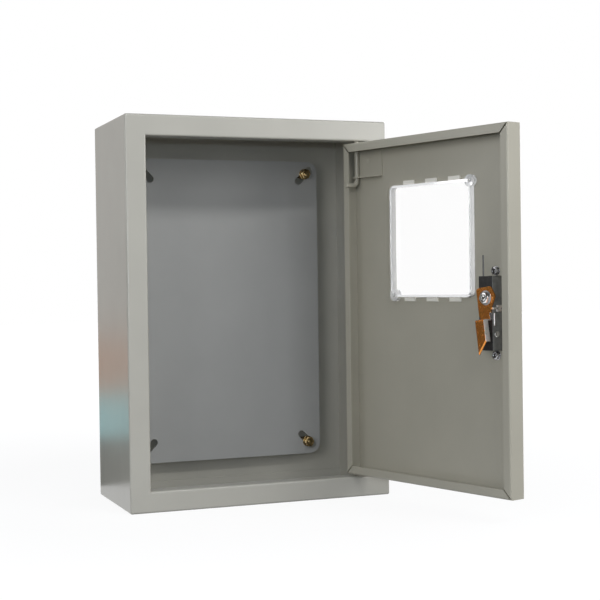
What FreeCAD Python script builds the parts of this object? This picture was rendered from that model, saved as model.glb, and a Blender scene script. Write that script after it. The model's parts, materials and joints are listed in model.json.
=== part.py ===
import FreeCAD, Part
import os
import re
import Sketcher

# Wall-mounted electric meter box: a folded sheet-steel cabinet with an inset door on pin hinges, a clear
# meter window in the door, a quarter-turn lock and a mounting plate on studs.
# Frame: X to the right, Y from the front towards the wall, Z up; the origin is the centre of the back face.
# Sizes are in millimetres and degrees.

SIZES = {
    # Cabinet: outer box, front flange round the opening and the lip folded in from it
    "cabinet_width": 285,
    "cabinet_height": 400,
    "cabinet_depth": 135,
    "sheet_thickness": 1.2,
    "bend_radius": 2,
    "flange_width": 21.5,
    "lip_depth": 18,
    "seam_height": 10,
    # Holes in the back for fixing to the wall, behind the mounting plate
    "wall_hole_diameter": 8.5,
    "wall_hole_spacing_across": 160,
    "wall_hole_spacing_up": 260,
    # Mounting plate with a diagonal slot at each corner
    "plate_width": 218,
    "plate_height": 333,
    "plate_thickness": 1.5,
    "plate_corner_radius": 12,
    "plate_standoff": 17,
    "slot_length": 26,
    "slot_width": 8,
    "slot_inset": 16,
    # Studs, nuts and washers that hold the plate
    "stud_diameter": 6,
    "right_stud_shift_across": 1,
    "right_stud_shift_up": 2,
    "left_stud_shift_across": 6,
    "left_stud_shift_up": 5.5,
    "stud_length": 28.5,
    "nut_across_flats": 10,
    "nut_height": 5,
    "washer_diameter": 12,
    "washer_thickness": 1.6,
    # Door: folded tray inset in the opening, hung on a vertical pin axis
    "door_gap": 3,
    "door_depth": 18.5,
    "return_width": 9,
    "mitre_gap": 2.4,
    "open_angle": 106.7,
    "pivot_from_edge": 7.2,
    "pivot_behind_front": 5.1,
    # Hinge bracket and pins
    "pin_diameter": 5,
    "pin_reach": 4,
    "pin_bend_radius": 6,
    "pin_tail_length": 15.5,
    "pin_tail_drop": 44,
    "collar_diameter": 9.5,
    "bracket_width": 41,
    "bracket_drop": 35,
    "bracket_depth": 9.5,
    "bracket_thickness": 1.2,
    "bracket_corner_radius": 4,
    # Meter window: a clear moulding pushed in from outside and held by its clips
    "window_width": 116,
    "window_height": 114.5,
    "window_rise": 70.25,
    "window_wall": 2.2,
    "window_rim": 5,
    "window_pane_thickness": 2,
    "window_overlap": 6,
    "window_corner_radius": 5,
    "window_rim_radius": 6,
    "clip_width": 16,
    "clip_reach": 4.5,
    "clip_thickness": 1.6,
    "clip_spacing": 32.5,
    "lug_diameter": 12,
    "upper_lug_across": 56,
    "lower_lug_across": 53,
    "lug_up": 55.5,
    "lug_hole_diameter": 4,
    # Lock body: escutcheon outside, housing inside, two fixing screws
    "lock_from_free_edge": 31.5,
    "lock_drop": 2.2,
    "spindle_rise": 14.8,
    "housing_length": 70.5,
    "housing_width": 17.7,
    "housing_offset": 2.3,
    "housing_depth": 13,
    "escutcheon_length": 100,
    "escutcheon_width": 26,
    "escutcheon_thickness": 5,
    "escutcheon_corner_radius": 5,
    "escutcheon_bevel": 1.5,
    "lock_screw_spacing": 80.5,
    "lock_screw_diameter": 4,
    "lock_screw_tip": 2,
    "lock_screw_head_diameter": 8,
    "lock_screw_head_depth": 2.5,
    "lock_washer_diameter": 9,
    "lock_washer_thickness": 0.8,
    "lock_nut_across_flats": 7,
    "lock_nut_height": 3.2,
    # Small spring parts on the free-edge side of the housing
    "side_clip_height": 6.2,
    "side_clip_reach": 6.7,
    "side_clip_proud": 1,
    "side_clip_drop": 10,
    "side_clip_split": 0.8,
    "side_clip_arm": 1.9,
    "spring_strip_length": 12.4,
    "spring_strip_width": 1.8,
    "spring_strip_drop": 26.5,
    "side_screw_diameter": 6,
    "side_screw_depth": 8.8,
    "side_screw_drop": 34.5,
    "spring_leg_diameter": 1.6,
    "spring_leg_length": 20,
    # Turning latch: spindle, cam with an offset tongue, cam screw and handle
    "rest_turn": 8,
    "spindle_diameter": 10,
    "spindle_square": 6.8,
    "cam_thickness": 1.6,
    "cam_head_width": 23.2,
    "cam_corner_rise": 10.2,
    "cam_corner_inset": 4.6,
    "cam_corner_radius": 3,
    "cam_neck_drop": 14.5,
    "cam_neck_taper": 3.8,
    "cam_step_distance": 20.2,
    "cam_offset": 9,
    "tongue_width": 10.9,
    "tongue_offset": 3.4,
    "tongue_length": 53.3,
    "tongue_bevel": 11.9,
    "tongue_flange_depth": 6.2,
    "cam_washer_diameter": 14,
    "cam_washer_thickness": 0.8,
    "cam_screw_diameter": 5,
    "cam_screw_across_flats": 10,
    "cam_screw_head_height": 3,
    "cam_screw_length": 12,
    "handle_length": 74,
    "handle_width": 15,
    "handle_tip_width": 11,
    "handle_thickness": 8,
    "handle_hub_diameter": 22,
    "handle_bevel": 1.5,
    "spindle_socket": 5,
    # Clearances
    "running_clearance": 0.06,
    "loose_clearance": 0.3,
}

DERIVED = {
    "opening_width": "cabinet_width - 2 * flange_width",
    "opening_height": "cabinet_height - 2 * flange_width",
    "door_width": "opening_width - 2 * door_gap",
    "door_height": "opening_height - 2 * door_gap",
    "door_free_edge": "pivot_from_edge - door_width",
    "door_inner_face": "sheet_thickness",
    "pivot_across": "opening_width / 2 - door_gap - pivot_from_edge",
    "pivot_depth": "pivot_behind_front - cabinet_depth",
    "plate_back": "0 - sheet_thickness - plate_standoff",
    "plate_front": "plate_back - plate_thickness",
    "slot_across": "plate_width / 2 - slot_inset",
    "slot_up": "plate_height / 2 - slot_inset",
    "pin_radius": "pin_diameter / 2",
    "running_radius": "pin_radius + running_clearance",
    "bracket_level": "door_height / 2 - sheet_thickness - bracket_drop",
    "bracket_left": "pivot_from_edge - sheet_thickness - bend_radius - bracket_width",
    "bracket_right": "pivot_from_edge - sheet_thickness - bend_radius",
    "pin_tail_level": "door_height / 2 - pin_tail_drop",
    "rim_inner_face": "door_inner_face + window_rim",
    "housing_inner_face": "door_inner_face + housing_depth",
    "housing_free_side": "housing_offset - housing_width / 2",
    "housing_hinge_side": "housing_offset + housing_width / 2",
    "cam_seat": "housing_inner_face + loose_clearance",
    "cam_top": "cam_seat + cam_thickness",
    "tongue_top": "cam_top + cam_offset",
    "cam_washer_top": "cam_top + cam_washer_thickness",
    "handle_inner_face": "0 - escutcheon_thickness - loose_clearance",
    "handle_outer_face": "handle_inner_face - handle_thickness",
    "lock_nut_seat": "door_inner_face + lock_washer_thickness",
    "side_clip_level": "spindle_rise - side_clip_drop",
}

LOCK_SCREW_LEVELS = [f"{side} * lock_screw_spacing / 2" for side in (-1, 1)]

# Sign of each plane's normal along its axis
PLANES = {"XY": 1, "XZ": -1, "YZ": 1}
CORNERS = [(sx, sz) for sx in (-1, 1) for sz in (-1, 1)]
TOLERANCE = 0.01

doc = FreeCAD.newDocument("meter_box")
dims = doc.addObject("Spreadsheet::Sheet", "dims")
for row, (alias, size) in enumerate(SIZES.items(), start=1):
    dims.set(f"A{row}", alias)
    dims.set(f"B{row}", str(size))
    dims.setAlias(f"B{row}", alias)
doc.recompute()

subparts = []


# Expressions over the sheet

def tied(text):
    """Points every size named in an expression at its cell, and writes derived sizes out."""
    def replace(match):
        word = match.group()
        if word in DERIVED:
            return f"({tied(DERIVED[word])})"
        if word in SIZES:
            return f"dims.{word}"
        return word
    return re.sub(r"[a-z][a-z_]*", replace, str(text))


def measure(text):
    return float(dims.evalExpression(tied(text)))


def bind(item, prop, text):
    item.setExpression(prop, tied(text))


def near(first, second):
    return abs(first - second) < TOLERANCE


# Solids made from sketches

def draw(body, plane, level, outlines):
    """A sketch at a level along the plane's axis. An outline is a list of corners or one circle."""
    sketch = body.newObject("Sketcher::SketchObject", "Sketch")
    origin_plane = next(item for item in body.Origin.OriginFeatures if item.Role == f"{plane}_Plane")
    sketch.AttachmentSupport = [(origin_plane, "")]
    sketch.MapMode = "FlatFace"
    bind(sketch, "AttachmentOffset.Base.z", f"{PLANES[plane]} * ({level})")
    for outline in outlines:
        if isinstance(outline, list):
            draw_polygon(sketch, outline)
        else:
            draw_circle(sketch, *outline)
    return sketch


def place_point(sketch, geometry, point, across, up):
    for kind, text in (("DistanceX", across), ("DistanceY", up)):
        index = sketch.addConstraint(Sketcher.Constraint(kind, -1, 1, geometry, point, measure(text)))
        sketch.setExpression(f"Constraints[{index}]", tied(text))


def draw_polygon(sketch, corners):
    first = sketch.GeometryCount
    points = [FreeCAD.Vector(measure(across), measure(up), 0) for across, up in corners]
    for start, end in zip(points, points[1:] + points[:1]):
        sketch.addGeometry(Part.LineSegment(start, end), False)
    for index, (across, up) in enumerate(corners):
        follower = first + (index + 1) % len(corners)
        sketch.addConstraint(Sketcher.Constraint("Coincident", first + index, 2, follower, 1))
        place_point(sketch, first + index, 1, across, up)


def draw_circle(sketch, across, up, radius):
    centre = FreeCAD.Vector(measure(across), measure(up), 0)
    circle = sketch.addGeometry(Part.Circle(centre, FreeCAD.Vector(0, 0, 1), measure(radius)), False)
    place_point(sketch, circle, 3, across, up)
    index = sketch.addConstraint(Sketcher.Constraint("Radius", circle, measure(radius)))
    sketch.setExpression(f"Constraints[{index}]", tied(radius))


def rectangle(low_across, high_across, low_up, high_up):
    return [(low_across, low_up), (high_across, low_up), (high_across, high_up), (low_across, high_up)]


def centred(width, height):
    return rectangle(f"0 - ({width}) / 2", f"({width}) / 2", f"0 - ({height}) / 2", f"({height}) / 2")


def pad(body, plane, low, high, *outlines):
    """Adds the outlines to the body between two levels of the plane's axis."""
    sketch = draw(body, plane, low if PLANES[plane] > 0 else high, outlines)
    feature = body.newObject("PartDesign::Pad", "Pad")
    feature.Profile = sketch
    bind(feature, "Length", f"({high}) - ({low})")
    doc.recompute()


def pocket(body, plane, low, high, *outlines):
    """Cuts the outlines out of the body between two levels of the plane's axis."""
    before = body.Shape.Volume
    sketch = draw(body, plane, high if PLANES[plane] > 0 else low, outlines)
    feature = body.newObject("PartDesign::Pocket", "Pocket")
    feature.Profile = sketch
    bind(feature, "Length", f"({high}) - ({low})")
    doc.recompute()
    if body.Shape.Volume >= before:
        raise RuntimeError(f"a pocket of {body.Label} cuts nothing")


def dress_edges(body, kind, prop, size, chosen):
    """Dresses the edges whose middle point passes the test."""
    edges = enumerate(body.Shape.Edges, start=1)
    names = [f"Edge{index}" for index, edge in edges if chosen(edge.CenterOfMass, edge)]
    base = body.Tip
    feature = body.newObject(f"PartDesign::{kind}", kind)
    feature.Base = (base, names)
    bind(feature, prop, size)
    doc.recompute()


def round_edges(body, radius, chosen):
    dress_edges(body, "Fillet", "Radius", radius, chosen)


def bevel_edges(body, size, chosen):
    dress_edges(body, "Chamfer", "Size", size, chosen)


def at_corners(corners):
    """Test for the upright edges of an XZ outline at the given corners."""
    def chosen(middle, edge):
        return runs_along(edge, Y_AXIS) and any(
            near(middle.x, corner.x) and near(middle.z, corner.z) for corner in corners)
    return chosen


def runs_along(edge, direction):
    if edge.Curve.TypeId != "Part::GeomLine":
        return False
    return abs(edge.tangentAt(edge.FirstParameter).dot(direction)) > 1 - TOLERANCE


def new_body(label):
    return doc.addObject("PartDesign::Body", label)


# Plain solids for round bars, nuts and washers

ALONG_Y = FreeCAD.Rotation(FreeCAD.Vector(1, 0, 0), -90)
ALONG_X = FreeCAD.Rotation(FreeCAD.Vector(0, 1, 0), 90)
UPRIGHT = FreeCAD.Rotation()


def set_base(item, x, y, z):
    for axis, text in zip("xyz", (x, y, z)):
        bind(item, f"Placement.Base.{axis}", text)


def rod(diameter, length, start, direction):
    item = doc.addObject("Part::Cylinder", "Rod")
    item.Placement = FreeCAD.Placement(FreeCAD.Vector(), direction)
    bind(item, "Radius", f"({diameter}) / 2")
    bind(item, "Height", length)
    set_base(item, *start)
    return item


def hexagon(across_flats, length, start, direction):
    item = doc.addObject("Part::Prism", "Hexagon")
    item.Placement = FreeCAD.Placement(FreeCAD.Vector(), direction)
    item.Polygon = 6
    bind(item, "Circumradius", f"({across_flats}) / sqrt(3)")
    bind(item, "Height", length)
    set_base(item, *start)
    return item


def less(base, tool):
    item = doc.addObject("Part::Cut", "Cut")
    item.Base = base
    item.Tool = tool
    return item


def nut(across_flats, height, bore, start):
    return less(hexagon(across_flats, height, start, ALONG_Y), rod(bore, height, start, ALONG_Y))


def washer(diameter, thickness, bore, start):
    return less(rod(diameter, thickness, start, ALONG_Y), rod(bore, thickness, start, ALONG_Y))


def joined(*pieces):
    item = doc.addObject("Part::MultiFuse", "Fuse")
    item.Shapes = list(pieces)
    return item


def group(pieces):
    item = doc.addObject("Part::Compound", "Group")
    item.Links = list(pieces)
    return item


def keep(item, label, placement):
    """Names a finished sub-part and puts it in its place."""
    item.Label = label
    doc.recompute()
    item.Placement = placement
    subparts.append(item)


# Places of the moving groups

def shift(x, y, z):
    return FreeCAD.Placement(FreeCAD.Vector(measure(x), measure(y), measure(z)), UPRIGHT)


def turn(axis, angle):
    return FreeCAD.Placement(FreeCAD.Vector(), FreeCAD.Rotation(axis, measure(angle)))


X_AXIS = FreeCAD.Vector(1, 0, 0)
Y_AXIS = FreeCAD.Vector(0, 1, 0)
Z_AXIS = FreeCAD.Vector(0, 0, 1)

CABINET = FreeCAD.Placement()
PIVOT = shift("pivot_across", "pivot_depth", "0")
# Door frame: X = 0 on the pin axis, Y = 0 on the front face and positive inwards, Z = 0 at mid height
DOOR = PIVOT * turn(Z_AXIS, "open_angle") * shift("0", "0 - pivot_behind_front", "0")
WINDOW = DOOR * shift("pivot_from_edge - door_width / 2", "0", "window_rise")
LOCK = DOOR * shift("door_free_edge + lock_from_free_edge", "0", "0 - lock_drop")
# Latch frame: origin on the spindle axis, tongue along -Z, handle along +X
LATCH = LOCK * shift("0", "0", "spindle_rise") * turn(Y_AXIS, "rest_turn")


# Cabinet

def make_cabinet_shell():
    body = new_body("cabinet_shell")
    front = "0 - cabinet_depth"
    pad(body, "XZ", front, "0", centred("cabinet_width", "cabinet_height"))
    front_level = measure(front)
    round_edges(body, "bend_radius",
                lambda middle, edge: near(middle.y, front_level) or runs_along(edge, Y_AXIS))
    inside = centred("cabinet_width - 2 * sheet_thickness", "cabinet_height - 2 * sheet_thickness")
    pocket(body, "XZ", f"{front} + sheet_thickness", "0 - sheet_thickness", inside)
    opening = centred("opening_width", "opening_height")
    pocket(body, "XZ", f"{front} - sheet_thickness", f"{front} + 2 * sheet_thickness", opening)
    lip = centred("opening_width + 2 * sheet_thickness", "opening_height + 2 * sheet_thickness")
    pad(body, "XZ", f"{front} + sheet_thickness / 2", f"{front} + lip_depth", lip, opening)
    half_width = measure("opening_width / 2") + TOLERANCE
    half_height = measure("opening_height / 2") + TOLERANCE
    round_edges(body, "bend_radius", lambda middle, edge: near(middle.y, front_level)
                and abs(middle.x) < half_width and abs(middle.z) < half_height)
    add_rear_seams(body)
    holes = [(f"{sx} * wall_hole_spacing_across / 2", f"{sz} * wall_hole_spacing_up / 2",
              "wall_hole_diameter / 2") for sx, sz in CORNERS]
    pocket(body, "XZ", "0 - 2 * sheet_thickness", "sheet_thickness", *holes)
    reach = "opening_height / 2 + 2 * sheet_thickness"
    pocket(body, "XY", f"0 - ({reach})", reach, ("pivot_across", "pivot_depth", "running_radius"))
    keep(body, "cabinet_shell", CABINET)


def add_rear_seams(body):
    """Flanges of the top and bottom walls, welded flat on the inside of the back wall."""
    inner_half = "cabinet_height / 2 - sheet_thickness"
    half_width = "cabinet_width / 2 - sheet_thickness"
    for side in (-1, 1):
        levels = sorted((f"{side} * ({inner_half})", f"{side} * ({inner_half} - seam_height)"), key=measure)
        strip = rectangle(f"0 - ({half_width})", half_width, *levels)
        pad(body, "XZ", "0 - 2 * sheet_thickness", "0 - sheet_thickness / 2", strip)


def make_mounting_plate():
    body = new_body("mounting_plate")
    pad(body, "XZ", "plate_front", "plate_back", centred("plate_width", "plate_height"))
    round_edges(body, "plate_corner_radius", lambda middle, edge: runs_along(edge, Y_AXIS))
    run = "(slot_length - slot_width) / 2 * sqrt(0.5)"
    half = "slot_width / 2 * sqrt(0.5)"
    slots = []
    ends = []
    for sx, sz in CORNERS:
        across = f"{sx} * slot_across"
        up = f"{sz} * slot_up"
        slots.append([(f"{across} + {a * sx} * {run} + {b * sz} * {half}",
                       f"{up} + {a * sz} * {run} - {b * sx} * {half}")
                      for a, b in ((1, 1), (1, -1), (-1, -1), (-1, 1))])
        ends += [(f"{across} + {a * sx} * {run}", f"{up} + {a * sz} * {run}", "slot_width / 2")
                 for a in (1, -1)]
    pocket(body, "XZ", "plate_front - plate_thickness", "plate_back + plate_thickness", *slots)
    pocket(body, "XZ", "plate_front - plate_thickness", "plate_back + plate_thickness", *ends)
    keep(body, "mounting_plate", CABINET)


def at_studs(make):
    """One copy at each stud. The left pair sits further out in its slots than the right pair."""
    sides = {-1: "left", 1: "right"}
    return group([make(f"{sx} * (slot_across + {sides[sx]}_stud_shift_across)",
                       f"{sz} * (slot_up + {sides[sx]}_stud_shift_up)") for sx, sz in CORNERS])


def make_plate_fixings():
    seat = "plate_front - washer_thickness"
    bore = "stud_diameter + 2 * running_clearance"

    def stud(x, z):
        return rod("stud_diameter", "stud_length", (x, "0 - sheet_thickness - stud_length", z), ALONG_Y)

    def backing_nut(x, z):
        return nut("nut_across_flats", "nut_height", bore, (x, "plate_back", z))

    def plate_washer(x, z):
        return washer("washer_diameter", "washer_thickness", bore, (x, seat, z))

    def plate_nut(x, z):
        return nut("nut_across_flats", "nut_height", bore, (x, f"{seat} - nut_height", z))

    keep(at_studs(stud), "plate_studs", CABINET)
    keep(at_studs(backing_nut), "plate_backing_nuts", CABINET)
    keep(at_studs(plate_washer), "plate_washers", CABINET)
    keep(at_studs(plate_nut), "plate_nuts", CABINET)


# Door and hinge

def make_door_panel():
    body = new_body("door_panel")
    half_height = "door_height / 2"
    outline = rectangle("door_free_edge", "pivot_from_edge", f"0 - {half_height}", half_height)
    pad(body, "XZ", "0", "door_depth", outline)
    round_edges(body, "bend_radius", lambda middle, edge: not runs_along(edge, Y_AXIS))
    inner_height = f"{half_height} - sheet_thickness"
    cavity = rectangle("door_free_edge + sheet_thickness", "pivot_from_edge - sheet_thickness",
                       f"0 - ({inner_height})", inner_height)
    pocket(body, "XZ", "door_inner_face", "door_depth - sheet_thickness", cavity)
    open_height = f"{half_height} - return_width"
    opening = rectangle("door_free_edge + return_width", "pivot_from_edge - return_width",
                        f"0 - ({open_height})", open_height)
    pocket(body, "XZ", "door_depth - 2 * sheet_thickness", "door_depth + sheet_thickness", opening)
    sides = (("door_free_edge", -1), ("pivot_from_edge", 1))
    mitres = [mitre(edge, sx, sz) for edge, sx in sides for sz in (-1, 1)]
    pocket(body, "XZ", "door_depth - 2 * sheet_thickness", "door_depth + sheet_thickness", *mitres)
    half_tail = "(pin_radius + loose_clearance)"
    tail_notch = rectangle("pivot_from_edge - return_width - mitre_gap", half_tail,
                           f"pin_tail_level - {half_tail}", f"pin_tail_level + {half_tail}")
    pocket(body, "XZ", "door_depth - 2 * sheet_thickness", "door_depth + sheet_thickness", tail_notch)
    cut_door_holes(body)
    keep(body, "door_panel", DOOR)


def mitre(edge, sx, sz):
    """The open slit between two folded-in returns, along a corner's diagonal."""
    start = "sheet_thickness"
    end = "(return_width + mitre_gap)"
    half = "mitre_gap / 2"
    return [(f"{edge} - {sx} * {run} + {side} * {half}", f"{sz} * (door_height / 2 - {run})")
            for run, side in ((start, -1), (start, 1), (end, 1), (end, -1))]


def cut_door_holes(body):
    window_across = "pivot_from_edge - door_width / 2"
    half_width = "(window_width / 2 + loose_clearance)"
    half_height = "(window_height / 2 + loose_clearance)"
    window = rectangle(f"{window_across} - {half_width}", f"{window_across} + {half_width}",
                       f"window_rise - {half_height}", f"window_rise + {half_height}")
    lock_across = "door_free_edge + lock_from_free_edge"
    half_length = "(housing_length / 2 + loose_clearance)"
    lock = rectangle(f"{lock_across} + housing_free_side - loose_clearance",
                     f"{lock_across} + housing_hinge_side + loose_clearance",
                     f"0 - lock_drop - {half_length}", f"{half_length} - lock_drop")
    screws = [(lock_across, f"{level} - lock_drop", "lock_screw_diameter / 2 + loose_clearance")
              for level in LOCK_SCREW_LEVELS]
    pocket(body, "XZ", "0 - sheet_thickness", "2 * sheet_thickness", window, lock, *screws)
    corners = [FreeCAD.Vector(measure(across), 0, measure(up)) for across, up in window]
    round_edges(body, "window_rim_radius + loose_clearance", at_corners(corners))
    pocket(body, "XY", "0 - door_height", "door_height", ("0", "pivot_behind_front", "running_radius"))


def make_hinge_bracket():
    """Leaf on the inside of the door panel, with a flange below that carries the upper pin."""
    body = new_body("hinge_bracket")
    leaf_back = "door_inner_face + bracket_thickness"
    leaf_top = "door_height / 2 - sheet_thickness"
    flange_top = "bracket_level + bracket_thickness"
    section = [("door_inner_face", "bracket_level"), ("bracket_depth", "bracket_level"),
               ("bracket_depth", flange_top), (leaf_back, flange_top),
               (leaf_back, leaf_top), ("door_inner_face", leaf_top)]
    pad(body, "YZ", "bracket_left", "bracket_right", section)
    tip = measure("bracket_depth")
    round_edges(body, "bracket_corner_radius",
                lambda middle, edge: near(middle.y, tip) and runs_along(edge, Z_AXIS))
    hole = ("0", "pivot_behind_front", "running_radius")
    pocket(body, "XY", "bracket_level - bracket_thickness", "bracket_level + 2 * bracket_thickness", hole)
    keep(body, "hinge_bracket", DOOR)


def make_hinge_pins():
    axis = ("0", "pivot_behind_front")
    bend_level = "pin_tail_level + pin_bend_radius"
    top = "opening_height / 2 + sheet_thickness + pin_reach"
    shank = rod("pin_diameter", f"{top} - ({bend_level})", (*axis, bend_level), UPRIGHT)
    bend = doc.addObject("Part::Torus", "Bend")
    bend.Placement = FreeCAD.Placement(FreeCAD.Vector(), FreeCAD.Rotation(-Y_AXIS, -Z_AXIS, X_AXIS, "XYZ"))
    bind(bend, "Radius1", "pin_bend_radius")
    bind(bend, "Radius2", "pin_radius")
    bend.Angle3 = 90
    set_base(bend, "0", "pivot_behind_front + pin_bend_radius", bend_level)
    tail_start = ("0", "pivot_behind_front + pin_bend_radius", "pin_tail_level")
    tail = rod("pin_diameter", "pin_tail_length - pin_bend_radius", tail_start, ALONG_Y)
    keep(joined(shank, bend, tail), "hinge_pin_upper", DOOR)
    seat = "(door_height / 2 - 2 * sheet_thickness)"
    rivet = rod("pin_diameter", f"{top} - {seat}", (*axis, f"0 - ({top})"), UPRIGHT)
    collar_start = (*axis, "loose_clearance - door_gap - door_height / 2")
    collar = rod("collar_diameter", "door_gap - loose_clearance", collar_start, UPRIGHT)
    keep(joined(rivet, collar), "hinge_pin_lower", DOOR)


def make_window_pane():
    """Clear tray: flange and pane outside the door, walls through the cut-out, clips and two lugs."""
    body = new_body("window_pane")
    flange = centred("window_width + 2 * window_overlap", "window_height + 2 * window_overlap")
    pad(body, "XZ", "0 - window_pane_thickness", "0", flange)
    round_edges(body, "window_corner_radius", lambda middle, edge: runs_along(edge, Y_AXIS))
    outer = centred("window_width", "window_height")
    inner = centred("window_width - 2 * window_wall", "window_height - 2 * window_wall")
    pad(body, "XZ", "0 - window_pane_thickness / 2", "rim_inner_face", outer, inner)
    for outline, radius in ((outer, "window_rim_radius"), (inner, "window_rim_radius - window_wall")):
        corners = [FreeCAD.Vector(measure(across), 0, measure(up)) for across, up in outline]
        round_edges(body, radius, at_corners(corners))
    clip_seat = "door_inner_face + loose_clearance"
    for side in (-1, 1):
        base = f"{side} * (window_height / 2 - window_wall / 2)"
        tip = f"{side} * (window_height / 2 + clip_reach)"
        low, high = sorted((base, tip), key=measure)
        for step in (-1, 0, 1):
            middle = f"{step} * clip_spacing"
            clip = rectangle(f"{middle} - clip_width / 2", f"{middle} + clip_width / 2", low, high)
            pad(body, "XZ", clip_seat, f"{clip_seat} + clip_thickness", clip)
    for centre in (("0 - upper_lug_across", "lug_up"), ("lower_lug_across", "0 - lug_up")):
        pad(body, "XZ", clip_seat, "rim_inner_face", (*centre, "lug_diameter / 2"))
        pocket(body, "XZ", clip_seat, "rim_inner_face + window_rim", (*centre, "lug_hole_diameter / 2"))
    keep(body, "window_pane", WINDOW)


# Lock

def make_lock_body():
    """One casting: escutcheon on the outside, housing through the cut-out in the door panel."""
    body = new_body("lock_body")
    pad(body, "XZ", "0 - escutcheon_thickness", "0", centred("escutcheon_width", "escutcheon_length"))
    outer_level = measure("0 - escutcheon_thickness")
    round_edges(body, "escutcheon_corner_radius", lambda middle, edge: runs_along(edge, Y_AXIS))
    bevel_edges(body, "escutcheon_bevel", lambda middle, edge: near(middle.y, outer_level))
    housing = rectangle("housing_free_side", "housing_hinge_side",
                        "0 - housing_length / 2", "housing_length / 2")
    pad(body, "XZ", "0 - escutcheon_thickness / 2", "housing_inner_face", housing)
    bore = ("0", "spindle_rise", "spindle_diameter / 2 + running_clearance")
    pocket(body, "XZ", "0 - 2 * escutcheon_thickness", "2 * housing_inner_face", bore)
    holes = [("0", level, "lock_screw_diameter / 2 + running_clearance") for level in LOCK_SCREW_LEVELS]
    pocket(body, "XZ", "0 - 2 * escutcheon_thickness", "escutcheon_thickness", *holes)
    heads = [("0", level, "lock_screw_head_diameter / 2 + running_clearance")
             for level in LOCK_SCREW_LEVELS]
    head_seat = "lock_screw_head_depth - escutcheon_thickness"
    pocket(body, "XZ", "0 - 2 * escutcheon_thickness", head_seat, *heads)
    cut_side_seats(body)
    keep(body, "lock_body", LOCK)


def cut_side_seats(body):
    """Seats of the clip, spring strip and screw in the side of the housing that faces the free edge."""
    side = "housing_free_side"
    for seat in (clip_outline(), spring_outline()):
        pocket(body, "YZ", f"{side} - side_clip_proud", f"{side} + side_clip_proud", seat)


def clip_outline():
    """Two bars side by side with one arm that reaches the inner face of the housing."""
    low, high = (f"side_clip_level {sign} side_clip_height / 2" for sign in "-+")
    arm_low, arm_high = (f"side_clip_level {sign} side_clip_arm / 2" for sign in "-+")
    start = "door_inner_face + side_clip_proud"
    end = f"{start} + side_clip_reach"
    tip = "housing_inner_face"
    return [(start, low), (end, low), (end, arm_low), (tip, arm_low), (tip, arm_high), (end, arm_high),
            (end, high), (start, high)]


def spring_outline():
    low = "spindle_rise - spring_strip_drop"
    inner = "housing_inner_face - spring_strip_width"
    return rectangle(f"{inner} - spring_strip_width", inner, low, f"{low} + spring_strip_length")


def make_lock_fixings():
    head_start = "0 - escutcheon_thickness"
    nut_top = "lock_nut_seat + lock_nut_height"
    bore = "lock_screw_diameter + 2 * running_clearance"

    def screw(z):
        head = rod("lock_screw_head_diameter", "lock_screw_head_depth", ("0", head_start, z), ALONG_Y)
        length = f"{nut_top} + lock_screw_tip + escutcheon_thickness"
        shank = rod("lock_screw_diameter", length, ("0", head_start, z), ALONG_Y)
        return joined(head, shank)

    def lock_washer(z):
        return washer("lock_washer_diameter", "lock_washer_thickness", bore, ("0", "door_inner_face", z))

    def lock_nut(z):
        return nut("lock_nut_across_flats", "lock_nut_height", bore, ("0", "lock_nut_seat", z))

    keep(group([screw(z) for z in LOCK_SCREW_LEVELS]), "lock_fixing_screws", LOCK)
    keep(group([lock_washer(z) for z in LOCK_SCREW_LEVELS]), "lock_fixing_washers", LOCK)
    keep(group([lock_nut(z) for z in LOCK_SCREW_LEVELS]), "lock_fixing_nuts", LOCK)


def make_lock_side_parts():
    side = "housing_free_side"
    clip = new_body("lock_side_clip")
    pad(clip, "YZ", f"{side} - side_clip_proud", f"{side} + side_clip_proud", clip_outline())
    split = rectangle("door_inner_face", "door_inner_face + side_clip_proud + side_clip_reach",
                      "side_clip_level - side_clip_split / 2", "side_clip_level + side_clip_split / 2")
    pocket(clip, "YZ", f"{side} - 2 * side_clip_proud", side, split)
    keep(clip, "lock_side_clip", LOCK)
    strip = new_body("lock_spring_strip")
    pad(strip, "YZ", f"{side} - side_clip_proud / 2", f"{side} + side_clip_proud", spring_outline())
    keep(strip, "lock_spring_strip", LOCK)
    screw_start = (f"{side} - side_clip_proud", "side_screw_depth", "spindle_rise - side_screw_drop")
    head = rod("side_screw_diameter", "side_clip_proud", screw_start, ALONG_X)
    keep(group([head]), "lock_side_screw", LOCK)
    leg_start = ("housing_hinge_side - 2 * spring_leg_diameter", "housing_inner_face - housing_depth / 4",
                 "housing_length / 2")
    leg = rod("spring_leg_diameter", "spring_leg_length", leg_start, UPRIGHT)
    keep(group([leg]), "lock_spring_leg", LOCK)


# Turning latch

def make_spindle():
    body = new_body("lock_spindle")
    pad(body, "XZ", "handle_inner_face - spindle_socket", "cam_seat", ("0", "0", "spindle_diameter / 2"))
    pad(body, "XZ", "cam_seat - cam_thickness", "cam_top", centred("spindle_square", "spindle_square"))
    bore = ("0", "0", "cam_screw_diameter / 2 + running_clearance")
    bore_end = "cam_washer_top - cam_screw_length - loose_clearance"
    pocket(body, "XZ", bore_end, "cam_top + cam_thickness", bore)
    keep(body, "lock_spindle", LATCH)


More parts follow.
